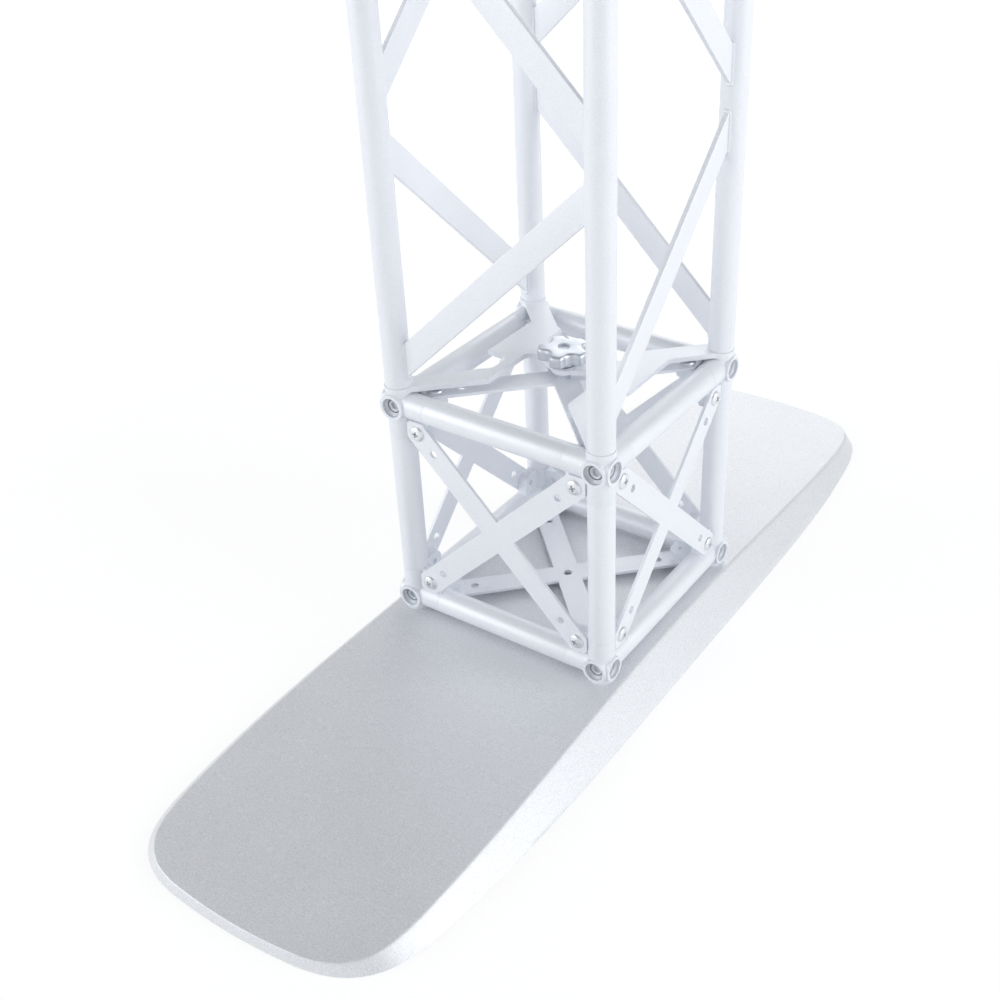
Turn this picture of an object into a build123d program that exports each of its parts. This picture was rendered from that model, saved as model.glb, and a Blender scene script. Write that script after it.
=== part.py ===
from build123d import *
import math
import os

# Lattice truss tower on a cube junction with an arched sheet-steel base plate.
# The origin is the middle of the base plate's footprint on the floor and +Z is up. The base plate is
# long in Y. Front is -Y, right is +X, back is +Y and left is -X. All sizes are in millimetres.

# Cube junction and tower plan: the four chord axes stand on a square.
PITCH = 221.0                 # chord axis to chord axis, in X, in Y and in the cube's Z
HALF = PITCH / 2
TUBE_R = 12.7                 # 1 inch tube
TUBE_WALL = 2.0
TUBE_BORE_R = TUBE_R - TUBE_WALL
FIT = 0.05                    # clearance of a shaft or plug in its hole

# Base plate: one bent sheet, highest in the middle, with a sloping flange all round.
BASE_APEX = 32.5              # top of the sheet at the middle
BASE_END_HEIGHT = 10.0        # top of the sheet at its two ends
BASE_HALF_LENGTH = 500.0
SHEET = 3.0
FLANGE_HEIGHT = 36.0          # the flange's slope is drawn up to here, above the apex
FLANGE_INSET = 33.0           # and it leans in by this much over that height
BASE_QUARTER = [(160.5, 0), (160.5, 150), (159.5, 240), (155, 331), (146, 415),
                (131, 455), (104, 481), (70, 494.5), (0, BASE_HALF_LENGTH)]
BOLT_R = 4.0                  # M8
BOLT_HEAD_R = 6.5             # across flats, halved
BOLT_HEAD_HEIGHT = 5.3
BOLT_SEAT = 28.2              # underside of the sheet at the bolts
BOLT_REACH = 9.0              # end of a base bolt, above the lower nodes

# Corner castings of the cube.
END_REACH = 14.5              # open end of a casting, out from its node
SEAT_REACH = 15.6             # lower end of a casting, down to the base plate
LUG_IN = 76.5                 # inner edge of a lug, from the cube's middle
LUG_OUT = 101.0
LUG_THICK = 10.0
LUG_CORNER_R = 9.0
SLEEVE = HALF - LUG_IN        # visible body of a casting, in from its node
SPIGOT = 24.0                 # hidden length inside a tube
RECESS_R = 9.7                # wide first step of an open end
RECESS_DEPTH = 4.5
SOCKET_R = 6.0                # narrow second step
SOCKET_DEPTH = 8.3
INSERT_FLANGE = 2.0
INSERT_BORE_R = 3.5

# Heights along Z.
LOW_Z = 46.5                  # lower nodes of the cube
HIGH_Z = LOW_Z + PITCH        # upper nodes of the cube
CUBE_Z = LOW_Z + HALF
COLLAR_Z = HIGH_Z + END_REACH
END_PLATE = 5.0
TOWER_LENGTH = 1000.0
TOWER_TOP = COLLAR_Z + TOWER_LENGTH
CHORD_LOW = COLLAR_Z + END_PLATE
CHORD_HIGH = TOWER_TOP - END_PLATE

# Cross plates: one flat cross on each of the cube's six faces.
CROSS_THICK = 3.0
CROSS_FACE = HALF + 8.0       # outer face of a cross plate, out from the cube's middle
CROSS_BACK = CROSS_FACE - CROSS_THICK
CROSS_WIDTH = 25.0
CROSS_REACH = 98.5
CROSS_TIP_R = 5.0
SCREW_AT = 87.0
SPARE_HOLE_AT = 69.5
SPARE_HOLE_R = 4.0
SCREW_R = 3.0
SCREW_LENGTH = 12.0
HEAD_R = 7.75
HEAD_HEIGHT = 3.2

# Lattice bars: flat bars in the planes of the chord axes, zigzag on each face.
BAR_WIDTH = 25.0
BAR_THICK = 5.0
BAR_START = 20.5              # first bar's centre line on the chord axis, above the collar
BAR_RISE = 214.5
BAR_PITCH = 248.0
BARS_PER_FACE = 4

# End plates of the tower and the plugs in the chords.
FINGER_WIDTH = 22.0
FINGER_IN = 52.0              # inner end of a finger, in X and in Y
EYE_R = 13.5
WEB_IN = 44.5                 # side webs run back to the rear fingers
WEB_OUT = 79.0
WEB_FRONT = -13.0
WEB_BACK = 64.0
NECK_WIDTH = 10.0             # and narrow necks run forward to the front fingers
NECK_FRONT = -56.0
BRIDGE_FRONT = 12.0           # the bridge between the webs comes forward to a boss at the middle
BRIDGE_BACK = 38.0
BOSS_R = 12.0
PLATE_FILLET = 9.0
PLUG_LENGTH = 12.0
PLUG_REACH = 4.0              # tip of a plug, down into its collar
BUSH_BORE_R = 5.0

# Central clamp that holds the tower to the cube.
STUD_R = 4.0                  # M8
STUD_LOW = 266.0
CLAMP_HOLE_R = 4.5
NUT_FLAT_R = 6.5              # across flats, halved
NUT_HEIGHT = 6.0
WASHER_R = 12.0
WASHER_THICK = 2.0
KNOB_HUB_R = 10.0
KNOB_HUB_HEIGHT = 6.0
KNOB_R = 25.0
KNOB_HEIGHT = 12.0
KNOB_LOBES = 5
KNOB_TURN = 211.6             # direction of the first lobe, degrees from +X
VALLEY_R = 9.5
VALLEY_AT = 27.5
KNOB_EDGE = 2.0
DIMPLE_R = 5.5
DIMPLE_DEPTH = 2.0

CORNERS = {"back_right": 0, "back_left": 90, "front_left": 180, "front_right": 270}
SIDES = {"right": 0, "back": 90, "left": 180, "front": 270}
TOWARDS = {"z": Plane.XY, "x": Plane.YZ, "y": Plane.ZX}      # a shape drawn along Z, laid along an axis


def rod(radius, low, high, axis="z"):
    """A cylinder on an axis through the origin, from low to high."""
    return TOWARDS[axis] * Pos(0, 0, (low + high) / 2) * Cylinder(radius, high - low)


def pipe(low, high, axis="z"):
    """A length of the structure's tube on an axis through the origin."""
    return rod(TUBE_R, low, high, axis) - rod(TUBE_BORE_R, low - 1, high + 1, axis)


def at_corners(shape):
    """The same shape at the four chord axes."""
    return [Pos(x, y, 0) * shape for x in (-HALF, HALF) for y in (-HALF, HALF)]


def group(shapes):
    """Separate solids that share one node."""
    return Compound([solid for shape in shapes for solid in shape.solids()])


def save(name, shape):
    shape.label = name
    export_step(shape, f"parts/{name}.step")


# Base plate

def base_ring(inset, z):
    """The plate's outline, moved in by inset, at height z: one smooth curve in each quarter."""
    right = [(x, -y) for x, y in BASE_QUARTER[:0:-1]] + BASE_QUARTER
    outline = right[:-1] + [(-x, -y) for x, y in right[:-1]]
    count = len(outline)
    points, runs = [], []
    for i, (x, y) in enumerate(outline):
        before = outline[i - 1]
        after = outline[(i + 1) % count]
        run = Vector(after[0] - before[0], after[1] - before[1]).normalized()
        points.append((x - run.Y * inset, y + run.X * inset, z))
        runs.append(run)
    curves = []
    for start in range(0, count, count // 4):
        stretch = [(start + step) % count for step in range(count // 4 + 1)]
        ends = (runs[stretch[0]], runs[stretch[-1]])
        curves.append(Spline(*[points[i] for i in stretch], tangents=ends))
    return Wire(curves)


def arch_body(drop):
    """Everything from the floor up to the arched surface, lowered by drop."""
    end = BASE_HALF_LENGTH
    radius = (end**2 + (BASE_APEX - BASE_END_HEIGHT) ** 2) / (2 * (BASE_APEX - BASE_END_HEIGHT))
    beyond = end + 5
    low = BASE_APEX - drop - radius + math.sqrt(radius**2 - beyond**2)
    arch = ThreePointArc((0, -beyond, low), (0, 0, BASE_APEX - drop), (0, beyond, low))
    sides = Polyline((0, beyond, low), (0, beyond, -1), (0, -beyond, -1), (0, -beyond, low))
    return extrude(make_face([arch, sides]), amount=BASE_QUARTER[0][0] + 1, both=True, dir=(1, 0, 0))


def base_body(inset, drop):
    """The solid under the sheet's surface: a leaning outline cut off by the arch."""
    rings = [base_ring(inset, 0), base_ring(inset + FLANGE_INSET, FLANGE_HEIGHT)]
    return Solid.make_loft(rings, ruled=True) & arch_body(drop)


def base_plate():
    lean = math.hypot(FLANGE_HEIGHT, FLANGE_INSET) / FLANGE_HEIGHT
    plate = base_body(0, 0) - base_body(SHEET * lean, SHEET)
    for hole in at_corners(rod(BOLT_R + FIT, 0, LOW_Z)):
        plate -= hole
    return plate


def base_bolts():
    """Hexagon bolts from under the plate up into the four lower castings."""
    head = extrude(RegularPolygon(BOLT_HEAD_R, 6, major_radius=False), amount=BOLT_HEAD_HEIGHT)
    bolt = Pos(0, 0, BOLT_SEAT - BOLT_HEAD_HEIGHT) * head + rod(BOLT_R, BOLT_SEAT, LOW_Z + BOLT_REACH)
    return group(at_corners(bolt))


# Cube junction

def lug(axis):
    """A flat tab between two arms of a casting, square to the axis, which takes a screw."""
    size = LUG_OUT - LUG_IN
    middle = (LUG_OUT + LUG_IN) / 2 - HALF
    outer = CROSS_BACK - HALF
    tab = Pos(middle, middle, outer - LUG_THICK / 2) * Box(size, size, LUG_THICK)
    inner = tab.edges().filter_by(Axis.Z).sort_by_distance((LUG_IN - HALF, LUG_IN - HALF, 0))[0]
    screw = Pos(SCREW_AT - HALF, SCREW_AT - HALF, 0) * rod(SCREW_R, outer - SCREW_LENGTH, outer + 1)
    return TOWARDS[axis] * (fillet(inner, LUG_CORNER_R) - screw)


def casting(upper):
    """The +X +Y casting about its node, with its open ends along +X and +Y and its third end along Z."""
    ends = {"x": END_REACH, "y": END_REACH, "z": END_REACH if upper else SEAT_REACH + 1}
    body = Part() + [rod(TUBE_R, -SLEEVE, reach, axis) for axis, reach in ends.items()]
    body += [rod(TUBE_BORE_R - FIT, -SLEEVE - SPIGOT, 1 - SLEEVE, axis) for axis in ends]
    body += [lug(axis) for axis in ends]
    for axis in ends if upper else "xy":
        body -= rod(RECESS_R, END_REACH - RECESS_DEPTH, END_REACH + 1, axis)
        body -= rod(SOCKET_R, END_REACH - SOCKET_DEPTH, END_REACH + 1, axis)
    if upper:
        return Pos(HALF, HALF, HIGH_Z) * body
    body -= rod(BOLT_R + FIT, -BOLT_REACH - FIT, SEAT_REACH + 2)
    return Pos(HALF, HALF, LOW_Z) * mirror(body, about=Plane.XY)


def end_inserts():
    """Flanged threaded bushes that line the open ends of the castings."""
    seat = END_REACH - RECESS_DEPTH
    bush = rod(RECESS_R - FIT, seat, seat + INSERT_FLANGE)
    bush += rod(SOCKET_R - FIT, END_REACH - SOCKET_DEPTH, seat)
    bush -= rod(INSERT_BORE_R, 0, END_REACH)
    pair = [TOWARDS[axis] * bush for axis in "xy"]
    corners = [Pos(HALF, HALF, z) * one for z in (LOW_Z, HIGH_Z) for one in pair]
    return group([Rot(0, 0, turn) * one for turn in CORNERS.values() for one in corners])


def cross_plate(centre_hole):
    """A flat cross lying on z = 0, drawn for the top face."""
    arm = 2 * CROSS_REACH * math.sqrt(2)
    cross = Rot(0, 0, 45) * Rectangle(arm, CROSS_WIDTH) + Rot(0, 0, -45) * Rectangle(arm, CROSS_WIDTH)
    cross &= RectangleRounded(2 * CROSS_REACH, 2 * CROSS_REACH, CROSS_TIP_R)
    for x in (-1, 1):
        for y in (-1, 1):
            cross -= Pos(x * SCREW_AT, y * SCREW_AT) * Circle(SCREW_R + FIT)
            cross -= Pos(x * SPARE_HOLE_AT, y * SPARE_HOLE_AT) * Circle(SPARE_HOLE_R)
    if centre_hole:
        cross -= Circle(CLAMP_HOLE_R)
    return extrude(cross, amount=CROSS_THICK)


def screw():
    """A pan-head screw with a cross recess; the underside of its head is on z = 0."""
    head = rod(HEAD_R, 0, HEAD_HEIGHT)
    head = fillet(head.edges().sort_by(Axis.Z)[-1], HEAD_HEIGHT * 0.6)
    for turn in (0, 90):
        head -= Rot(0, 0, turn) * Pos(0, 0, HEAD_HEIGHT) * Box(8, 1.6, 3)
    return head + rod(SCREW_R, FIT - SCREW_LENGTH, 0)


def cube_faces(shape):
    """The shape, drawn on z = 0, laid on the six outer faces of the cross plates."""
    faces = {"top": Rot(0, 0, 0), "bottom": Rot(180, 0, 0)}
    for side, turn in SIDES.items():
        faces[side] = Rot(0, 0, turn) * Rot(0, 90, 0)
    return {side: Pos(0, 0, CUBE_Z) * turn * Pos(0, 0, CROSS_FACE) * shape for side, turn in faces.items()}


def cross_plate_screws():
    at = (-SCREW_AT, SCREW_AT)
    four = Compound([Pos(x, y, 0) * screw() for x in at for y in at])
    return group(cube_faces(four).values())


# Tower

def lattice_bar(number):
    """A flat bar of the right face, cut to the two chords it is welded to."""
    length = PITCH * 1.6
    slope = math.degrees(math.atan2(BAR_RISE, PITCH))
    rises = 1 if number % 2 == 0 else -1
    middle = COLLAR_Z + BAR_START + BAR_PITCH * number + BAR_RISE / 2
    bar = Rot(rises * slope, 0, 0) * Box(BAR_THICK, length, BAR_WIDTH)
    bar &= Box(BAR_THICK, PITCH, PITCH * 2)
    bar = Pos(HALF, 0, middle) * bar
    for y in (-HALF, HALF):
        bar -= Pos(HALF, y, middle) * rod(TUBE_R, -PITCH, PITCH)
    return bar


def end_plate():
    """Two side webs bridged by a boss at the middle, and a finger out to each chord; on z = 0."""
    reach = WEB_IN + 2
    bridge = [(0, -BOSS_R), (reach, BRIDGE_FRONT), (reach, BRIDGE_BACK), (0, BOSS_R)]
    bridge += [(-x, y) for x, y in bridge[2:0:-1]]
    plate = Polygon(*bridge, align=None) + Circle(BOSS_R)
    web = Rectangle(WEB_OUT - WEB_IN, WEB_BACK - WEB_FRONT)
    neck = Rectangle(NECK_WIDTH, WEB_FRONT - NECK_FRONT + 2)
    for x in (-1, 1):
        plate += Pos(x * (WEB_IN + WEB_OUT) / 2, (WEB_FRONT + WEB_BACK) / 2) * web
        plate += Pos(x * (WEB_IN + NECK_WIDTH / 2), (WEB_FRONT + NECK_FRONT) / 2 + 1) * neck
        for y in (-1, 1):
            middle = (HALF + FINGER_IN) / 2
            length = (HALF - FINGER_IN) * math.sqrt(2)
            plate += Pos(x * middle, y * middle) * Rot(0, 0, 45 * x * y) * Rectangle(length, FINGER_WIDTH)
            plate += Pos(x * HALF, y * HALF) * Circle(EYE_R)
    plate = offset(offset(plate, PLATE_FILLET), -PLATE_FILLET)
    for x in (-HALF, HALF):
        for y in (-HALF, HALF):
            plate -= Pos(x, y) * Circle(RECESS_R)
    plate -= Circle(CLAMP_HOLE_R)
    return extrude(plate, amount=END_PLATE)


def chord_plugs():
    """Plugs in the lower ends of the chords, with pins that drop into the cube's collars."""
    plug = rod(TUBE_BORE_R - FIT, CHORD_LOW, CHORD_LOW + PLUG_LENGTH)
    plug += rod(RECESS_R - FIT, COLLAR_Z - PLUG_REACH, CHORD_LOW)
    return group(at_corners(plug))


def chord_sockets():
    """Threaded bushes in the upper ends of the chords, under the holes for the next section's plugs."""
    low = CHORD_HIGH - PLUG_LENGTH
    bush = rod(TUBE_BORE_R - FIT, low, CHORD_HIGH) - rod(BUSH_BORE_R, low - 1, CHORD_HIGH + 1)
    return group(at_corners(bush))


# Clamp

def clamp_nut():
    nut = extrude(RegularPolygon(NUT_FLAT_R, 6, major_radius=False), amount=NUT_HEIGHT)
    nut -= rod(STUD_R + FIT, -1, NUT_HEIGHT + 1)
    return Pos(0, 0, CUBE_Z + CROSS_FACE) * nut


def clamp_washer():
    washer = rod(WASHER_R, 0, WASHER_THICK) - rod(STUD_R + FIT, -1, WASHER_THICK + 1)
    return Pos(0, 0, CHORD_LOW) * washer


def clamp_knob():
    """A star knob: five lobes with round valleys between them, on a narrower hub."""
    star = Circle(KNOB_R)
    for lobe in range(KNOB_LOBES):
        turn = KNOB_TURN + (lobe + 0.5) * 360 / KNOB_LOBES
        star -= Rot(0, 0, turn) * Pos(VALLEY_AT, 0) * Circle(VALLEY_R)
    top = KNOB_HUB_HEIGHT + KNOB_HEIGHT
    knob = Pos(0, 0, KNOB_HUB_HEIGHT) * extrude(star, amount=KNOB_HEIGHT)
    knob = chamfer(knob.faces().sort_by(Axis.Z)[-1].edges(), KNOB_EDGE)
    knob += rod(KNOB_HUB_R, 0, KNOB_HUB_HEIGHT)
    knob -= rod(STUD_R, -1, top)
    knob -= rod(DIMPLE_R, top - DIMPLE_DEPTH, top + 1)
    return Pos(0, 0, CHORD_LOW + WASHER_THICK) * knob


def clamp_stud():
    top = CHORD_LOW + WASHER_THICK + KNOB_HUB_HEIGHT + KNOB_HEIGHT - DIMPLE_DEPTH
    return rod(STUD_R, STUD_LOW, top)


os.makedirs("parts", exist_ok=True)

save("base_plate", base_plate())
save("base_bolts", base_bolts())

lower_casting = casting(upper=False)
upper_casting = casting(upper=True)
post = Pos(HALF, HALF, 0) * pipe(LOW_Z + SLEEVE, HIGH_Z - SLEEVE)
chord = Pos(HALF, HALF, 0) * pipe(CHORD_LOW, CHORD_HIGH)
for corner, turn in CORNERS.items():
    save(f"casting_lower_{corner}", Rot(0, 0, turn) * lower_casting - arch_body(0))
    save(f"casting_upper_{corner}", Rot(0, 0, turn) * upper_casting)
    save(f"cube_post_{corner}", Rot(0, 0, turn) * post)
    save(f"tower_chord_{corner}", Rot(0, 0, turn) * chord)
save("end_inserts", end_inserts())

rail = Pos(HALF, 0, 0) * pipe(SLEEVE - HALF, HALF - SLEEVE, "y")
for side, turn in SIDES.items():
    save(f"cube_rail_lower_{side}", Rot(0, 0, turn) * Pos(0, 0, LOW_Z) * rail)
    save(f"cube_rail_upper_{side}", Rot(0, 0, turn) * Pos(0, 0, HIGH_Z) * rail)
    for number in range(BARS_PER_FACE):
        save(f"tower_bar_{side}_{number + 1}", Rot(0, 0, turn) * lattice_bar(number))

under = Pos(0, 0, -CROSS_THICK)
plain_plates = cube_faces(under * cross_plate(centre_hole=False))
drilled_plates = cube_faces(under * cross_plate(centre_hole=True))
for face in plain_plates:
    level = face in ("top", "bottom")
    save(f"cross_plate_{face}", drilled_plates[face] if level else plain_plates[face])
save("cross_plate_screws", cross_plate_screws())

save("tower_end_plate_lower", Pos(0, 0, COLLAR_Z) * end_plate())
save("tower_end_plate_upper", Pos(0, 0, CHORD_HIGH) * end_plate())
save("chord_plugs_lower", chord_plugs())
save("chord_sockets_upper", chord_sockets())

save("clamp_nut", clamp_nut())
save("clamp_washer", clamp_washer())
save("clamp_knob", clamp_knob())
save("clamp_stud", clamp_stud())
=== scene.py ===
"""Lighting truss section: a lattice tower on a cube junction and an arched steel base plate.

Every length is in metres. Places come from the CAD frame's own boxes wherever it has them.
"""

import math

import bmesh
import bpy
import numpy as np
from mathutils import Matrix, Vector


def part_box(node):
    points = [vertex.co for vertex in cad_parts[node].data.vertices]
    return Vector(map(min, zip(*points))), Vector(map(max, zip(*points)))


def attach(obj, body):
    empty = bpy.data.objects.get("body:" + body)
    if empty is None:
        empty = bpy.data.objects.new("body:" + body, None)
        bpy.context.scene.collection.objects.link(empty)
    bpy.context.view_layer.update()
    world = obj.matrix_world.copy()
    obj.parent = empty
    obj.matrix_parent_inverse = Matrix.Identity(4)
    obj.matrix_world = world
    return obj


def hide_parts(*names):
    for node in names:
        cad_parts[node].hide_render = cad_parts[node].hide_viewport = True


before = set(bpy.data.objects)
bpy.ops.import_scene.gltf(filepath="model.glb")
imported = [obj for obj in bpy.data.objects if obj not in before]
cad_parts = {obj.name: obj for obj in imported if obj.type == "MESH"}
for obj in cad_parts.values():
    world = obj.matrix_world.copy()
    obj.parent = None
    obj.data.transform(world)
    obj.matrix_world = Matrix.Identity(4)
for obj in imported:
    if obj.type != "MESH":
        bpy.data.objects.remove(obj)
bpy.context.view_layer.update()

bl_info = {
    "name": "Lighting truss section",
    "version": (1, 0, 0),
    "blender": (4, 5, 0),
    "location": "3D View > Sidebar > Truss",
    "description": "Builds the visible pieces of a truss tower on its cube junction and base plate",
    "category": "Add Mesh",
}

SIDES = {"right": 0, "back": 90, "left": 180, "front": 270}
CORNERS = {"back_right": 0, "back_left": 90, "front_left": 180, "front_right": 270}
AXES = {"x": 1, "y": 2, "z": 0}     # turns of (x, y, z) that lay a shape drawn along Z on an axis


def middle_of(name):
    """The middle of a CAD node's box."""
    low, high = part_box(name)
    return (low + high) / 2


HALF = middle_of("tower_chord_back_right").x       # chord axes stand at plus and minus this
LOW_Z = middle_of("cube_rail_lower_right").z       # lower and upper nodes of the cube
HIGH_Z = middle_of("cube_rail_upper_right").z
CUBE_Z = (LOW_Z + HIGH_Z) / 2


def linear(code):
    """An sRGB hex colour as linear red, green and blue."""
    values = [int(code[i:i + 2], 16) / 255 for i in (1, 3, 5)]
    return tuple(v / 12.92 if v <= 0.04045 else ((v + 0.055) / 1.055) ** 2.4 for v in values)


# Sizes and colours

def length(name, text, default):
    """A length that a user would change."""
    return bpy.props.FloatProperty(name=name, description=text, default=default, min=0, precision=5,
                                   unit="LENGTH", subtype="DISTANCE")


def colour(name, text, code):
    """A paint's or metal's colour that a user would change, from its sRGB hex code."""
    return bpy.props.FloatVectorProperty(name=name, description=text, default=linear(code), min=0,
                                         max=1, subtype="COLOR")


class TrussSizes(bpy.types.PropertyGroup):
    wall: length("Tube wall", "Wall thickness of the tubes", 0.002)
    tube_ease: length("Tube edge", "Rounding of a tube's cut ends under its paint", 0.0005)
    bar_width: length("Bar width", "Width of a lattice bar", 0.025)
    bar_rise: length("Bar rise", "Climb of a lattice bar from chord axis to chord axis", 0.2145)
    bar_ease: length("Bar edge", "Rounding of a lattice bar's long edges", 0.0009)
    weld: length("Weld", "Radius of the painted weld round the end of a bar", 0.0018)
    weld_ripple: length("Weld ripple", "Spacing of the ripples along a weld", 0.0032)
    sheet: length("Sheet", "Thickness of the base plate", 0.003)
    apex: length("Apex", "Top of the base plate at its middle", 0.0325)
    end_height: length("End height", "Top of the base plate at its two ends", 0.010)
    flange_height: length("Flange height", "Height over which the flange's slope is drawn", 0.036)
    flange_inset: length("Flange inset", "How far the flange leans in over that height", 0.033)
    crease: length("Crease", "Blend of the flange into the arched top", 0.0026)
    head: length("Screw head", "Radius of a cross-recessed screw head", 0.00775)
    head_height: length("Screw head height", "Height of a screw head", 0.0032)
    shank: length("Screw shank", "Radius of a screw's shank", 0.003)
    screw_at: length("Screw offset", "Screws from the middle of a cube face, along each side", 0.087)


class TrussColours(bpy.types.PropertyGroup):
    frame_paint: colour("Frame paint", "Satin silver powder coat on tubes, bars and plates", "#EFF2F8")
    casting_paint: colour("Casting paint", "Satin silver powder coat on the castings", "#EDF1F7")
    base_paint: colour("Base paint", "Satin silver-grey powder coat on the base plate", "#E9EBEF")
    zinc: colour("Zinc", "Bright zinc plating on the screws", "#E6E9EE")
    steel: colour("Coated steel", "Steel of the bolts, clamp, plugs and bushes under its coating", "#CDD2D9")
    knob: colour("Knob", "Tumbled die-cast aluminium of the clamp's knob", "#D5DAE1")
    floor: colour("Floor", "Pale studio floor", "#FAFBFC")


# Surfaces

def eased(corners, ease, steps=4):
    """A closed polygon with rounded corners. Each corner c becomes the curve (1-t)^2 a + 2t(1-t) c + t^2 b
    between a and b, the points set back from c by ease along its two sides."""
    corners = np.asarray(corners, float)
    back = np.roll(corners, 1, 0) - corners
    on = np.roll(corners, -1, 0) - corners
    ease = np.broadcast_to(ease, len(corners))[:, None]
    a = corners + back / np.linalg.norm(back, axis=1)[:, None] * ease
    b = corners + on / np.linalg.norm(on, axis=1)[:, None] * ease
    t = np.linspace(0, 1, steps + 1)[None, :, None]
    curve = (1 - t) ** 2 * a[:, None] + 2 * t * (1 - t) * corners[:, None] + t ** 2 * b[:, None]
    points = curve.reshape(-1, 2)
    return np.vstack([points, points[:1]])


def lathe(profile, segments=64):
    """A profile of (radius, height) turned round Z: (r cos a, r sin a, h) over a full turn of a."""
    turn = np.linspace(0, 2 * math.pi, segments + 1)
    radius, height = np.asarray(profile, float).T[:, :, None]
    return np.stack([radius * np.cos(turn), radius * np.sin(turn), height + 0 * turn], -1)


def laid(points, axis):
    """Points drawn about Z, laid along an axis."""
    return np.roll(points, AXES[axis], axis=-1)


def turned(points, degrees):
    """Points turned about the vertical axis."""
    c, s = math.cos(math.radians(degrees)), math.sin(math.radians(degrees))
    return points @ np.array([[c, s, 0], [-s, c, 0], [0, 0, 1]])


def tube(low, high, wall, ease):
    """A hollow tube that fills a node's box: the wall's rectangle, from bore to outside and from end to
    end, with eased corners, turned round the tube's axis."""
    low, high = np.array(low), np.array(high)
    axis = int(np.argmax(high - low))
    middle = (low + high) / 2
    radius = (high - low)[(axis + 1) % 3] / 2
    start, end = low[axis] - middle[axis], high[axis] - middle[axis]
    wall_section = [(radius, start), (radius, end), (radius - wall, end), (radius - wall, start)]
    return laid(lathe(eased(wall_section, ease)), "xyz"[axis]) + middle


def bar(middle_z, rises, sizes, thick, tube_radius):
    """A flat bar of the right face. Its section, width w by thickness t with eased edges, is carried from
    chord to chord along (0, cos a, sin a); each point's run ends on a chord's surface, where
    (y -+ HALF)^2 + t^2 = R^2. Two more rows close the ends. Returns the surface, the bar's slope and
    the outlines of its two ends."""
    slope = rises * math.atan2(sizes.bar_rise, 2 * HALF)
    w, t = sizes.bar_width / 2, thick / 2
    loop = eased([(-w, -t), (w, -t), (w, t), (-w, t)], sizes.bar_ease)
    width, depth = loop.T
    reach = HALF - np.sqrt(tube_radius ** 2 - depth ** 2)
    ends = []
    for side in (-1, 1):
        run = (side * reach + width * math.sin(slope)) / math.cos(slope)
        across = run * math.cos(slope) - width * math.sin(slope)
        up = run * math.sin(slope) + width * math.cos(slope)
        ends.append(np.stack([HALF + depth, across, middle_z + up], -1))
    centres = [np.broadcast_to(end.mean(0), end.shape) for end in ends]
    return np.stack([centres[0], ends[0], ends[1], centres[1]]), slope, ends


def weld(end, slope, side, sizes):
    """A weld round one end of a bar: a circle of radius r carried along the bar's edge on the chord,
    p + r (cos a d + sin a n), where d runs along the bar and n points out of its side; r ripples
    with the distance along the weld."""
    samples_round, ripple_share = 96, 0.08
    step = np.linalg.norm(np.diff(end, axis=0, append=end[:1]), axis=1)
    along = np.concatenate([[0], np.cumsum(step)[:-1]])
    samples = np.linspace(0, along[-1], samples_round)
    path = np.stack([np.interp(samples, along, end[:, i]) for i in range(3)], -1)
    tangent = np.gradient(path, axis=0)
    tangent /= np.linalg.norm(tangent, axis=1)[:, None]
    away = np.array([0, math.cos(slope), math.sin(slope)]) * -side
    normal = np.cross(tangent, away)
    normal /= np.linalg.norm(normal, axis=1)[:, None]
    radius = sizes.weld * (1 + ripple_share * np.cos(2 * math.pi * samples / sizes.weld_ripple))
    turn = np.linspace(0, 2 * math.pi, 11)[:, None, None]
    surface = path + radius[:, None] * (np.cos(turn) * away + np.sin(turn) * normal)
    surface[:, -1] = surface[:, 0]
    return surface


def base_outline(quarter, count=10):
    """The base plate's closed outline through the quarter's points and their mirror images: between two
    points the cubic Hermite curve, its slope at a point being the line between that point's neighbours
    over the length along them. Returns the points and the unit normals that point inwards."""
    right = [(x, -y) for x, y in quarter[:0:-1]] + quarter
    points = np.array(right[:-1] + [(-x, -y) for x, y in right[:-1]])
    chord = np.linalg.norm(np.roll(points, -1, 0) - points, axis=1)[:, None]
    slope = (np.roll(points, -1, 0) - np.roll(points, 1, 0)) / (chord + np.roll(chord, 1, 0))
    t = np.linspace(0, 1, count, endpoint=False)[None, :, None]
    curve = ((2 * t ** 3 - 3 * t ** 2 + 1) * points[:, None]
             + (t ** 3 - 2 * t ** 2 + t) * (chord * slope)[:, None]
             + (3 * t ** 2 - 2 * t ** 3) * np.roll(points, -1, 0)[:, None]
             + (t ** 3 - t ** 2) * (chord * np.roll(slope, -1, 0))[:, None]).reshape(-1, 2)
    run = np.roll(curve, -1, 0) - np.roll(curve, 1, 0)
    run /= np.linalg.norm(run, axis=1)[:, None]
    inward = np.stack([-run[:, 1], run[:, 0]], -1)
    return np.vstack([curve, curve[:1]]), np.vstack([inward, inward[:1]])


def soft_least(a, b, blend):
    """The lesser of a and b, rounded where they meet: min(a, b) - blend/4 max(0, 1 - |a - b|/blend)^2."""
    return np.minimum(a, b) - blend / 4 * np.maximum(0, 1 - np.abs(a - b) / blend) ** 2


# A quarter of the base plate's outline, from the middle of its right side to the middle of its back end.
BASE_QUARTER = [(0.1605, 0), (0.1605, 0.150), (0.1592, 0.245), (0.1555, 0.325), (0.1485, 0.396),
                (0.142, 0.434), (0.132, 0.460), (0.116, 0.478), (0.094, 0.490), (0.064, 0.4965), (0, 0.500)]
END_LEAN = 0.3          # lean of the flange at the two ends, as a share of its lean on the long sides
SPINE_END = 0.34        # the spine, where the two halves of the surface meet, ends this far from the middle
CREASE_PLACE = 0.97     # the crease lies at about this share of the outline's y


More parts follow.
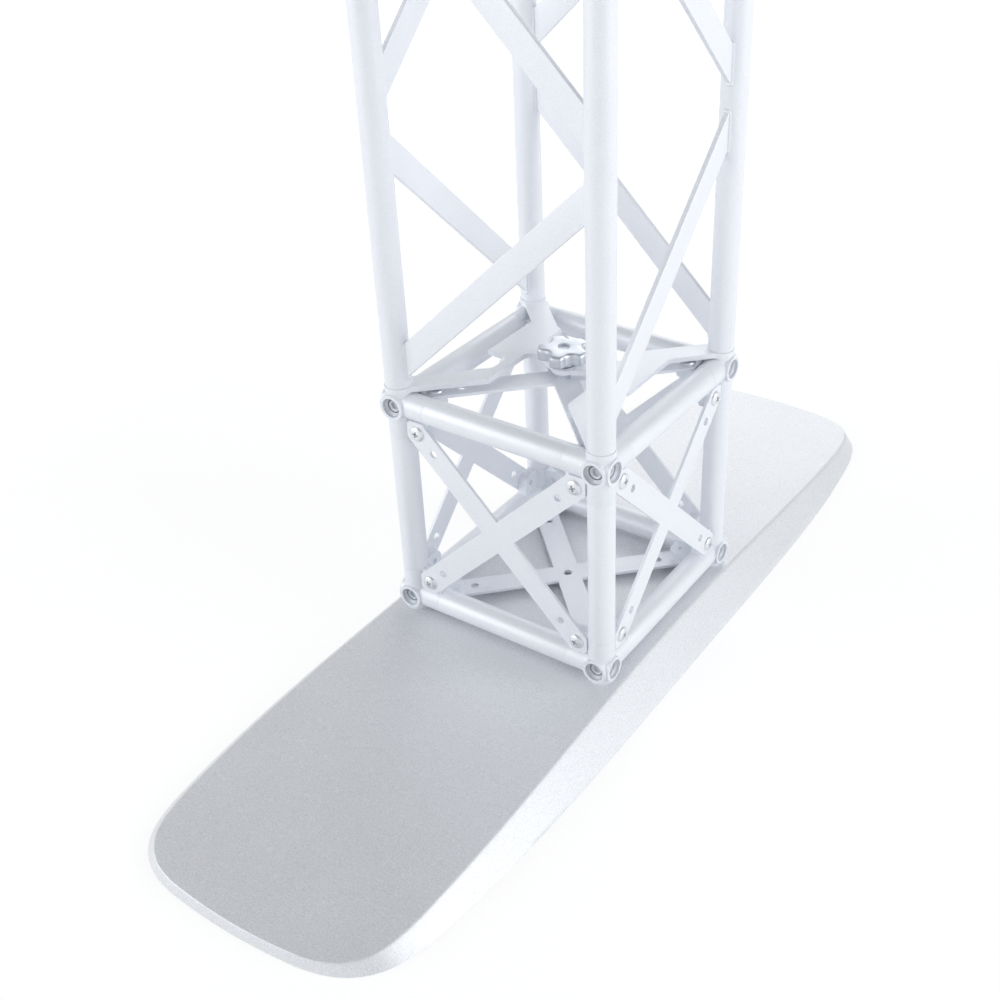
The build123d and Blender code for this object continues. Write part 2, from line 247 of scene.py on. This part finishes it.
def base_surface(sizes):
    """The bent sheet as one closed surface. Across it runs a section, from the spine over the crease and
    down the flange to the floor, round the rim and back up inside; along it runs the outline. Height is
    the soft least of the flange's slope, inset H/I, and the arch, apex less what the circle through both
    ends has dropped at y. The flange leans by I/H on the long sides and stands steeper at the ends."""
    outline, inward = base_outline(BASE_QUARTER)
    end = outline[:, 1].max()
    fall = sizes.apex - sizes.end_height
    radius = (end ** 2 + fall ** 2) / (2 * fall)
    lean = sizes.flange_inset / sizes.flange_height * (END_LEAN + (1 - END_LEAN) * inward[:, 0] ** 2)
    inner = sizes.sheet * np.hypot(1, lean)
    # Places across the flange as shares of the way to the crease, close together round the crease.
    across = np.array([0.04, 0.15, 0.4, 0.65, 0.82, 0.9, 0.94, 0.97, 1, 1.03, 1.06, 1.1, 1.2, 1.5, 2])

    def arch(y):
        """Height of the arched top at y."""
        return sizes.apex - radius + np.sqrt(radius ** 2 - y ** 2)

    def skin(start, drop):
        """Rows of one skin, from its foot to the spine."""
        crease = (arch(outline[:, 1] * CREASE_PLACE) - drop) * lean
        inset = across[:, None] * crease
        plan = outline + (start + inset)[..., None] * inward
        slope = soft_least(inset / lean, arch(plan[..., 1]) - drop, sizes.crease)
        flank = np.concatenate([plan, slope[..., None]], -1)
        spine = np.stack([0 * plan[-1, :, 0], np.clip(plan[-1, :, 1], -SPINE_END, SPINE_END)], -1)
        share = np.linspace(0, 1, 9)[1:, None, None]
        field = plan[-1] * (1 - share) + spine * share
        return np.concatenate([flank, np.concatenate([field, (arch(field[..., 1]) - drop)[..., None]], -1)])

    outside, inside = skin(0, 0), skin(inner, sizes.sheet)
    # The sheet's cut edge on the floor: inset from the outline, and height.
    rim = [(0.0009, 0.0007), (0.0006, 0.0003), (0.0009, 0.0001), (0.0014, 0), (0.0028, 0), (inner, 0)]
    foot = [np.column_stack([outline + inward * np.reshape(inset, (-1, 1)), np.full(len(outline), z)])
            for inset, z in rim]
    return np.concatenate([outside[::-1], np.stack(foot), inside])


def recess_reach(turn, span, width):
    """How far a cross of two slots reaches in a direction: the larger of the two rectangles' reaches,
    each min(span/2 / |cos|, width/2 / |sin|)."""
    c, s = np.abs(np.cos(turn)) + 1e-9, np.abs(np.sin(turn)) + 1e-9
    return np.maximum(np.minimum(span / c, width / s), np.minimum(span / s, width / c)) / 2


def screw_surface(sizes):
    """A cross-recessed pan head on z = 0 with its shank below. The head's height at radius r is
    H (1 - (r/R)^2.6)^(1/2.6); rows inside the recess scale its cross outline, and rows outside run from
    that outline to the head's edge."""
    span, width = 0.0064, 0.0016     # length and width of a slot of the cross
    recess_floor = 0.06              # height of the recess's floor, as a share of the head's
    shank_end = -0.0118
    corner = math.atan2(width, span)
    arm = np.concatenate([np.linspace(-corner, corner, 4),
                          np.linspace(corner, math.pi / 2 - corner, 8)[1:-1]])
    turn = np.concatenate([arm + quarter * math.pi / 2 for quarter in range(4)] + [[2 * math.pi - corner]])
    reach = recess_reach(turn, span, width)
    share = np.array([0, 0.25, 0.5, 0.7, 0.85, 0.95, 1])[:, None]
    cap = reach * (1 - share) + sizes.head * share
    top = sizes.head_height * (1 - np.clip(cap / sizes.head, 0, 1) ** 2.6) ** (1 / 2.6)
    deep = sizes.head_height * recess_floor
    rows = [(reach * 0, deep), (reach * 0.6, deep + 0.0002), (reach * 0.95, top[0] - 0.0006)]
    rows += [(cap[i], top[i]) for i in range(len(cap))]
    rows += [(reach * 0 + r, z) for r, z in ((sizes.shank, 0), (sizes.shank, shank_end), (0, shank_end))]
    radius = np.stack([r for r, _ in rows])
    height = np.stack([z + 0 * turn for _, z in rows])
    return np.stack([radius * np.cos(turn), radius * np.sin(turn), height], -1)


def bush_surface(reach):
    """A flanged bush about Z whose open end is at the reach of its casting's arm: from the closed bore its
    dished face rises to the flange's rim, then down outside the flange and the body. The bore is drawn
    closed a little below the seat, since nothing shows deeper in."""
    seat = reach - 0.0045
    bore, body, rim, foot = 0.0035, 0.00595, 0.00965, reach - 0.0083
    section = [(0, seat - 0.0034), (bore - 0.0002, seat - 0.0032), (bore, seat - 0.003),
               (bore, seat - 0.0014), (bore + 0.0003, seat - 0.001), (0.0055, seat - 0.0006),
               (0.0072, seat + 0.0002), (0.0084, seat + 0.0012), (0.009, seat + 0.0018),
               (0.0094, seat + 0.002), (rim, seat + 0.0018), (rim, seat), (body, seat), (body, foot),
               (0, foot)]
    return lathe(section, 48)


def knob_surface(low, high):
    """A star knob. Its outline in direction a is the lesser of R and the near side of the valley circles,
    D cos d - sqrt(V^2 - (D sin d)^2) with d the angle from the nearest valley, averaged over a few
    degrees so the lobes' corners are round. Each row of the section is a share of that outline plus an
    offset, at a height."""
    middle = (low + high) / 2
    half_lobe = math.pi / 5
    radius, valley, valley_at, first = 0.025, 0.0095, 0.0275, math.radians(211.6) + half_lobe
    turn = np.linspace(0, 2 * math.pi, 360, endpoint=False)
    away = (turn - first + half_lobe) % (2 * half_lobe) - half_lobe
    inside = valley ** 2 - (valley_at * np.sin(away)) ** 2
    near = np.where(inside > 0, valley_at * np.cos(away) - np.sqrt(np.maximum(inside, 0)), radius)
    star = np.mean([np.roll(np.minimum(radius, near), k) for k in range(-5, 6)], axis=0)
    star = np.append(star, star[0])[::2]
    turn = np.append(turn, 2 * math.pi)[::2]
    z0, z1 = low.z, high.z
    hub_height = 0.006
    under = z0 + hub_height
    bore, hub, dimple = 0.00405, 0.010, 0.0055
    rows = [(0, bore, z1 - 0.002), (0, bore, z0), (0, hub - 0.0006, z0), (0, hub, z0 + 0.0006),
            (0, hub, under - 0.0008), (0, hub + 0.0003, under - 0.0002), (0, hub + 0.001, under),
            (0.5, 0.0045, under), (1, -0.0016, under), (1, -0.0006, under + 0.0004),
            (1, -0.0001, under + 0.0011), (1, 0, under + 0.002), (1, 0, z1 - 0.0034),
            (1, -0.0002, z1 - 0.0022), (1, -0.0008, z1 - 0.0011), (1, -0.0018, z1 - 0.0003),
            (1, -0.003, z1), (0.5, 0.0040, z1), (0, dimple + 0.0012, z1), (0, dimple + 0.0005, z1 - 0.0001),
            (0, dimple + 0.0001, z1 - 0.0005), (0, dimple, z1 - 0.0018), (0, dimple - 0.0003, z1 - 0.002),
            (0, bore, z1 - 0.002)]
    share, offset, height = np.array(rows).T[:, :, None]
    r = share * star + offset
    return np.stack([middle.x + r * np.cos(turn), middle.y + r * np.sin(turn), height + 0 * turn], -1)


# Pieces

def make_piece(name, grids, body, material, nodes):
    """One object from grids of points: quads between neighbours, doubles at seams and poles merged."""
    points = np.concatenate([grid.reshape(-1, 3) for grid in grids])
    faces, first = [], 0
    for grid in grids:
        index = first + np.arange(grid.shape[0] * grid.shape[1]).reshape(grid.shape[:2])
        quads = np.stack([index[:-1, :-1], index[1:, :-1], index[1:, 1:], index[:-1, 1:]], -1)
        faces.append(quads.reshape(-1, 4))
        first += index.size
    mesh = bpy.data.meshes.new(name)
    mesh.from_pydata(points.tolist(), [], np.concatenate(faces).tolist())
    close_shells(mesh)
    return fit_piece(name, mesh, body, material, nodes)


def close_shells(mesh):
    """Merges the doubles at seams and poles and points every face outwards."""
    shells = bmesh.new()
    shells.from_mesh(mesh)
    bmesh.ops.remove_doubles(shells, verts=shells.verts, dist=2e-6)
    bmesh.ops.recalc_face_normals(shells, faces=shells.faces)
    shells.to_mesh(mesh)
    shells.free()


def fit_piece(name, mesh, body, material, nodes):
    """Smooths a mesh but for its sharp edges, and puts it on its body in place of the CAD nodes."""
    mesh.shade_smooth()
    mesh.set_sharp_from_angle(angle=math.radians(38))
    piece = bpy.data.objects.new(name, mesh)
    bpy.context.scene.collection.objects.link(piece)
    mesh.materials.append(material)
    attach(piece, body)
    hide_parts(*nodes)
    return piece


def dress_node(name, material):
    """Gives a CAD node that stays a finished material."""
    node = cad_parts[name]
    node.data.materials.clear()
    node.data.materials.append(material)


# Materials

def add_node(tree, kind, values=None, links=None, **settings):
    """Adds a node with its properties, its sockets' values and the outputs that feed its sockets."""
    made = tree.nodes.new(kind)
    for name, value in settings.items():
        setattr(made, name, value)
    for socket, value in (values or {}).items():
        made.inputs[socket].default_value = value
    for socket, source in (links or {}).items():
        tree.links.new(source, made.inputs[socket])
    return made


def new_material(name):
    """A material with an empty tree, or the finished one and None where the name is already made."""
    found = bpy.data.materials.get(name)
    if found:
        return found, None
    made = bpy.data.materials.new(name)
    made.use_nodes = True
    made.node_tree.nodes.clear()
    return made, made.node_tree


CLOUD = 0.06           # width of a coat's faint clouds of tint and gloss
PEEL = 0.0035          # width of a ripple of its orange peel
METAL_CLOUD = 0.004    # width of the clouds in a plated metal's gloss
SCUFF = 0.0007         # width of its scuffs


def powder_coat(name, shade, metallic, roughness, grain, grain_depth):
    """Polyester powder coat with a silver flake, sprayed and baked on steel or cast aluminium. The flake
    gives a fine sparkle of light and dark, the baked film a slight orange peel and a satin gloss.
    Grain is the flake's spacing; the real 0.1 mm would not show, so it is drawn at about 1 mm."""
    material, tree = new_material(name)
    if tree is None:
        return material
    place = add_node(tree, "ShaderNodeTexCoord").outputs["Object"]
    flake = add_node(tree, "ShaderNodeTexNoise", {"Scale": 1 / grain, "Detail": 2.0, "Roughness": 0.6},
                     {"Vector": place})
    cloud = add_node(tree, "ShaderNodeTexNoise", {"Scale": 1 / CLOUD, "Detail": 3.0}, {"Vector": place})
    peel = add_node(tree, "ShaderNodeTexNoise", {"Scale": 1 / PEEL, "Detail": 1.0}, {"Vector": place})
    low = tuple(c * (1 - grain_depth) for c in shade) + (1,)
    high = tuple(min(1, c * (1 + grain_depth * 0.6)) for c in shade) + (1,)
    speck = add_node(tree, "ShaderNodeMapRange", {"From Min": 0.3, "From Max": 0.7},
                     {"Value": flake.outputs[0]})
    paint = add_node(tree, "ShaderNodeMix", {}, {"Factor": speck.outputs["Result"]}, data_type="RGBA")
    colours = [s for s in paint.inputs if s.type == "RGBA"]
    colours[0].default_value, colours[1].default_value = low, high
    tint = add_node(tree, "ShaderNodeMapRange", {"To Min": 0.975, "To Max": 1.02},
                    {"Value": cloud.outputs[0]})
    mixed = [s for s in paint.outputs if s.type == "RGBA"][0]
    shaded = add_node(tree, "ShaderNodeHueSaturation", {}, {"Color": mixed, "Value": tint.outputs["Result"]})
    gloss = add_node(tree, "ShaderNodeMapRange", {"To Min": roughness - 0.04, "To Max": roughness + 0.05},
                     {"Value": cloud.outputs[0]})
    rough = add_node(tree, "ShaderNodeBump", {"Strength": 0.35, "Distance": 0.00012},
                     {"Height": flake.outputs[0]})
    film = add_node(tree, "ShaderNodeBump", {"Strength": 0.25, "Distance": 0.0003},
                    {"Height": peel.outputs[0], "Normal": rough.outputs["Normal"]})
    shader = add_node(tree, "ShaderNodeBsdfPrincipled", {"Metallic": metallic},
                      {"Base Color": shaded.outputs["Color"], "Roughness": gloss.outputs["Result"],
                       "Normal": film.outputs["Normal"]})
    add_node(tree, "ShaderNodeOutputMaterial", {}, {"Surface": shader.outputs["BSDF"]})
    return material


def plated_metal(name, shade, roughness, wear):
    """Bare or plated metal, turned or tumbled. Cloudy gloss and short fine scuffs tell it from paint."""
    material, tree = new_material(name)
    if tree is None:
        return material
    place = add_node(tree, "ShaderNodeTexCoord").outputs["Object"]
    cloud = add_node(tree, "ShaderNodeTexNoise", {"Scale": 1 / METAL_CLOUD, "Detail": 4.0},
                     {"Vector": place})
    scuff = add_node(tree, "ShaderNodeTexNoise", {"Scale": 1 / SCUFF, "Detail": 2.0}, {"Vector": place})
    gloss = add_node(tree, "ShaderNodeMapRange", {"To Min": roughness - wear, "To Max": roughness + wear},
                     {"Value": cloud.outputs[0]})
    tint = add_node(tree, "ShaderNodeMapRange", {"To Min": 0.94, "To Max": 1.04},
                    {"Value": cloud.outputs[0]})
    shaded = add_node(tree, "ShaderNodeHueSaturation", {"Color": tuple(shade) + (1,)},
                      {"Value": tint.outputs["Result"]})
    relief = add_node(tree, "ShaderNodeBump", {"Strength": 0.3, "Distance": 0.00006},
                      {"Height": scuff.outputs[0]})
    shader = add_node(tree, "ShaderNodeBsdfPrincipled", {"Metallic": 1.0},
                      {"Base Color": shaded.outputs["Color"], "Roughness": gloss.outputs["Result"],
                       "Normal": relief.outputs["Normal"]})
    add_node(tree, "ShaderNodeOutputMaterial", {}, {"Surface": shader.outputs["BSDF"]})
    return material


def frame_paint(colours):
    """Powder coat baked on drawn tube and flat bar: near-white silver, satin, with a fine even grain."""
    return powder_coat("silver_powder_coat_on_steel_tube", colours.frame_paint, 0.2, 0.42, 0.0011, 0.05)


def casting_paint(colours):
    """The same coat over die-cast nodes: a slightly rougher skin that softens their highlights."""
    return powder_coat("silver_powder_coat_on_die_casting", colours.casting_paint, 0.2, 0.44, 0.0012, 0.05)


def base_paint(colours):
    """Powder coat on bent sheet steel: greyer and coarser, with a broad soft sheen along the arch."""
    return powder_coat("silver_grey_powder_coat_on_sheet_steel", colours.base_paint, 0.4, 0.48, 0.0014, 0.13)


def screw_zinc(colours):
    """Bright zinc plate on pressed pan heads: pale, with a soft metal glint and dark recesses."""
    return plated_metal("bright_zinc_plated_steel", colours.zinc, 0.4, 0.08)


def plated_steel(colours):
    """Zinc-nickel plate on turned steel: a little darker and cooler than the paint round it."""
    return plated_metal("zinc_nickel_plated_steel", colours.steel, 0.42, 0.08)


def bush_coat(colours):
    """Zinc flake coating dipped and baked on turned steel: matt silver-grey, with no mirror glints."""
    return powder_coat("zinc_flake_coated_steel", colours.steel, 0.35, 0.55, 0.0011, 0.06)


def knob_metal(colours):
    """Die-cast aluminium, tumbled after casting: clouded satin gloss and no sharp glints."""
    return plated_metal("tumbled_die_cast_aluminium", colours.knob, 0.42, 0.08)


# Operators

class TRUSS_OT_base(bpy.types.Operator):
    """Bends the sheet-steel base plate: arched top, sloping flange and rounded crease."""

    bl_idname = "truss.base"
    bl_label = "Base plate"

    def execute(self, context):
        sizes, colours = context.scene.truss_sizes, context.scene.truss_colours
        make_piece("base_sheet", [base_surface(sizes)], "stand", base_paint(colours), ["base_plate"])
        dress_node("base_bolts", plated_steel(colours))
        return {"FINISHED"}


class TRUSS_OT_tubes(bpy.types.Operator):
    """Cuts the cube's posts and rails and the tower's four chords from tube."""

    bl_idname = "truss.tubes"
    bl_label = "Tubes"

    def execute(self, context):
        sizes, colours = context.scene.truss_sizes, context.scene.truss_colours
        names = [f"{kind}_{corner}" for kind in ("cube_post", "tower_chord") for corner in CORNERS]
        names += [f"cube_rail_{level}_{side}" for level in ("lower", "upper") for side in SIDES]
        for name in names:
            grid = tube(*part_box(name), sizes.wall, sizes.tube_ease)
            make_piece(f"{name}_tube", [grid], "stand", frame_paint(colours), [name])
        return {"FINISHED"}


class TRUSS_OT_lattice(bpy.types.Operator):
    """Welds the zigzag of flat bars between the chords on each face of the tower."""

    bl_idname = "truss.lattice"
    bl_label = "Lattice bars"

    def execute(self, context):
        sizes, colours = context.scene.truss_sizes, context.scene.truss_colours
        low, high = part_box("tower_chord_back_right")
        for side, turn in SIDES.items():
            number = 1
            while f"tower_bar_{side}_{number}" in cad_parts:
                name = f"tower_bar_{side}_{number}"
                box_low, box_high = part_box(name)
                thick = min((box_high - box_low)[:2])
                rises = 1 if number % 2 else -1
                surface, slope, ends = bar((box_low.z + box_high.z) / 2, rises, sizes, thick,
                                           (high.x - low.x) / 2)
                grids = [surface] + [weld(end, slope, way, sizes) for end, way in zip(ends, (-1, 1))]
                make_piece(f"{name}_welded", [turned(grid, turn) for grid in grids], "stand",
                           frame_paint(colours), [name])
                number += 1
        return {"FINISHED"}


class TRUSS_OT_castings(bpy.types.Operator):
    """Finishes the eight corner castings and turns the bushes in their open ends."""

    bl_idname = "truss.castings"
    bl_label = "Corner castings"

    def execute(self, context):
        colours = context.scene.truss_colours
        for level in ("lower", "upper"):
            for corner in CORNERS:
                dress_node(f"casting_{level}_{corner}", casting_paint(colours))
        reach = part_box("casting_upper_back_right")[1].x - HALF
        bush = bush_surface(reach)
        grids = [turned(laid(bush, axis) + np.array([HALF, HALF, z]), turn)
                 for axis in "xy" for z in (LOW_Z, HIGH_Z) for turn in CORNERS.values()]
        make_piece("casting_bushes", grids, "stand", bush_coat(colours), ["end_inserts"])
        return {"FINISHED"}


class TRUSS_OT_cross_plates(bpy.types.Operator):
    """Finishes the six cross plates and sets their cross-recessed screws."""

    bl_idname = "truss.cross_plates"
    bl_label = "Cross plates and screws"

    def execute(self, context):
        sizes, colours = context.scene.truss_sizes, context.scene.truss_colours
        for face in ("top", "bottom", *SIDES):
            dress_node(f"cross_plate_{face}", frame_paint(colours))
        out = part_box("cross_plate_right")[1].x
        at = sizes.screw_at
        head = screw_surface(sizes)
        face = [turned(head, turn) + np.array([x, y, out]) for x, y, turn in
                ((at, at, 20), (at, -at, 65), (-at, -at, 35), (-at, at, 80))]
        centre = np.array([0, 0, CUBE_Z])
        grids = face + [one * np.array([1, -1, -1]) for one in face]
        grids += [turned(laid(one, "x"), turn) for one in face for turn in SIDES.values()]
        make_piece("cross_screws", [grid + centre for grid in grids], "stand", screw_zinc(colours),
                   ["cross_plate_screws"])
        return {"FINISHED"}


class TRUSS_OT_end_plates(bpy.types.Operator):
    """Finishes the plates at the tower's two ends with their plugs and sockets."""

    bl_idname = "truss.end_plates"
    bl_label = "End plates"

    def execute(self, context):
        colours = context.scene.truss_colours
        for name in ("tower_end_plate_lower", "tower_end_plate_upper"):
            dress_node(name, frame_paint(colours))
        for name in ("chord_plugs_lower", "chord_sockets_upper"):
            dress_node(name, plated_steel(colours))
        return {"FINISHED"}


class TRUSS_OT_clamp(bpy.types.Operator):
    """Makes the central clamp: star knob, stud, washer and nut."""

    bl_idname = "truss.clamp"
    bl_label = "Clamp"

    def execute(self, context):
        colours = context.scene.truss_colours
        grid = knob_surface(*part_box("clamp_knob"))
        make_piece("star_knob", [grid], "knob", knob_metal(colours), ["clamp_knob"])
        for name in ("clamp_nut", "clamp_washer", "clamp_stud"):
            dress_node(name, plated_steel(colours))
        return {"FINISHED"}


class TRUSS_OT_stage(bpy.types.Operator):
    """Sets the camera, the soft studio light and the pale floor."""

    bl_idname = "truss.stage"
    bl_label = "Stage"

    def execute(self, context):
        scene, colours = context.scene, context.scene.truss_colours
        lens = bpy.data.cameras.new("camera")
        lens.lens = 47.88
        lens.sensor_width = 36
        lens.shift_x, lens.shift_y = -0.1055, -0.0109
        lens.clip_end = 50
        camera = bpy.data.objects.new("camera", lens)
        camera.location = (0.6218, -0.9341, 0.8813)
        camera.rotation_euler = Vector((-0.4385, 0.7121, -0.5483)).to_track_quat("-Z", "Y").to_euler()
        scene.collection.objects.link(camera)
        scene.camera = camera
        scene.view_settings.view_transform = "Standard"
        self.light(scene)
        self.floor(scene, colours)
        return {"FINISHED"}

    def light(self, scene):
        """Soft lamps on the right, behind and in front, and a room that is paler towards its horizon."""
        aim = Vector((0, 0, 0.3))
        # Each lamp's name, place, width and power.
        lamps = (("side", (3.0, 0.5, 1.5), 2.2, 45), ("back", (-0.7, 2.1, 1.2), 1.5, 11),
                 ("front", (-1.9, -2.2, 1.4), 2.2, 36))
        for name, at, size, power in lamps:
            lamp = bpy.data.lights.new(name, "AREA")
            lamp.size = size
            lamp.energy = power
            one = bpy.data.objects.new(name, lamp)
            one.location = at
            one.rotation_euler = (aim - Vector(at)).to_track_quat("-Z", "Y").to_euler()
            scene.collection.objects.link(one)
        world = bpy.data.worlds.new("studio")
        scene.world = world
        world.use_nodes = True
        tree = world.node_tree
        tree.nodes.clear()
        way = add_node(tree, "ShaderNodeTexCoord").outputs["Generated"]
        height = add_node(tree, "ShaderNodeSeparateXYZ", {}, {"Vector": way}).outputs["Z"]
        ramp = add_node(tree, "ShaderNodeMapRange", {"From Min": 0.3, "From Max": 0.85, "To Min": 0.78,
                                                     "To Max": 0.26}, {"Value": height})
        room = add_node(tree, "ShaderNodeBackground", {"Color": (0.975, 0.985, 1, 1)},
                        {"Strength": ramp.outputs["Result"]})
        plain = add_node(tree, "ShaderNodeBackground", {"Color": (1, 1, 1, 1), "Strength": 1.0})
        path = add_node(tree, "ShaderNodeLightPath")
        pick = add_node(tree, "ShaderNodeMixShader", {}, {0: path.outputs["Is Camera Ray"],
                                                          1: room.outputs[0], 2: plain.outputs[0]})
        add_node(tree, "ShaderNodeOutputWorld", {}, {"Surface": pick.outputs[0]})

    def floor(self, scene, colours):
        """A flat floor: seen by the camera and in gloss it is lifted to white, but its shadow stays. The
        glow's share of what is seen is least near the object and rises to all of it two metres away."""
        mesh = bpy.data.meshes.new("floor")
        far, level = 30.0, -0.0004     # just below the base plate's rim
        mesh.from_pydata([(-far, -far, level), (far, -far, level), (far, far, level), (-far, far, level)],
                         [], [(0, 1, 2, 3)])
        floor = bpy.data.objects.new("floor", mesh)
        scene.collection.objects.link(floor)
        material, tree = new_material("matt_white_studio_floor")
        matt = add_node(tree, "ShaderNodeBsdfDiffuse", {"Color": tuple(colours.floor) + (1,)})
        glow = add_node(tree, "ShaderNodeEmission", {"Color": (1, 1, 1, 1), "Strength": 1.12})
        path = add_node(tree, "ShaderNodeLightPath")
        seen = path.outputs["Is Camera Ray"]
        for ray in ("Is Glossy Ray", "Is Transmission Ray"):
            seen = add_node(tree, "ShaderNodeMath", {}, {0: seen, 1: path.outputs[ray]},
                            operation="MAXIMUM").outputs[0]
        place = add_node(tree, "ShaderNodeNewGeometry").outputs["Position"]
        away = add_node(tree, "ShaderNodeVectorMath", {}, {0: place}, operation="LENGTH").outputs["Value"]
        lift = add_node(tree, "ShaderNodeMapRange", {"From Min": 0.7, "From Max": 2.0, "To Min": 0.68},
                        {"Value": away}).outputs["Result"]
        share = add_node(tree, "ShaderNodeMath", {}, {0: seen, 1: lift}, operation="MULTIPLY")
        both = add_node(tree, "ShaderNodeMixShader", {}, {0: share.outputs[0], 1: matt.outputs[0],
                                                          2: glow.outputs[0]})
        add_node(tree, "ShaderNodeOutputMaterial", {}, {"Surface": both.outputs[0]})
        mesh.materials.append(material)


OPERATORS = (TRUSS_OT_base, TRUSS_OT_tubes, TRUSS_OT_lattice, TRUSS_OT_castings, TRUSS_OT_cross_plates,
             TRUSS_OT_end_plates, TRUSS_OT_clamp, TRUSS_OT_stage)


class TRUSS_PT_pieces(bpy.types.Panel):
    """Lists the truss section's pieces, sizes and colours."""

    bl_label = "Truss section"
    bl_space_type = "VIEW_3D"
    bl_region_type = "UI"
    bl_category = "Truss"

    def draw(self, context):
        for operator in OPERATORS:
            self.layout.operator(operator.bl_idname)
        for group in (context.scene.truss_sizes, context.scene.truss_colours):
            for name in group.__annotations__:
                self.layout.prop(group, name)


CLASSES = (TrussSizes, TrussColours, *OPERATORS, TRUSS_PT_pieces)


def register():
    for one in CLASSES:
        bpy.utils.register_class(one)
    bpy.types.Scene.truss_sizes = bpy.props.PointerProperty(type=TrussSizes)
    bpy.types.Scene.truss_colours = bpy.props.PointerProperty(type=TrussColours)


def unregister():
    del bpy.types.Scene.truss_colours
    del bpy.types.Scene.truss_sizes
    for one in reversed(CLASSES):
        bpy.utils.unregister_class(one)


def main():
    register()
    for operator in OPERATORS:
        group, name = operator.bl_idname.split(".")
        getattr(getattr(bpy.ops, group), name)()


if __name__ == "__main__":
    main()
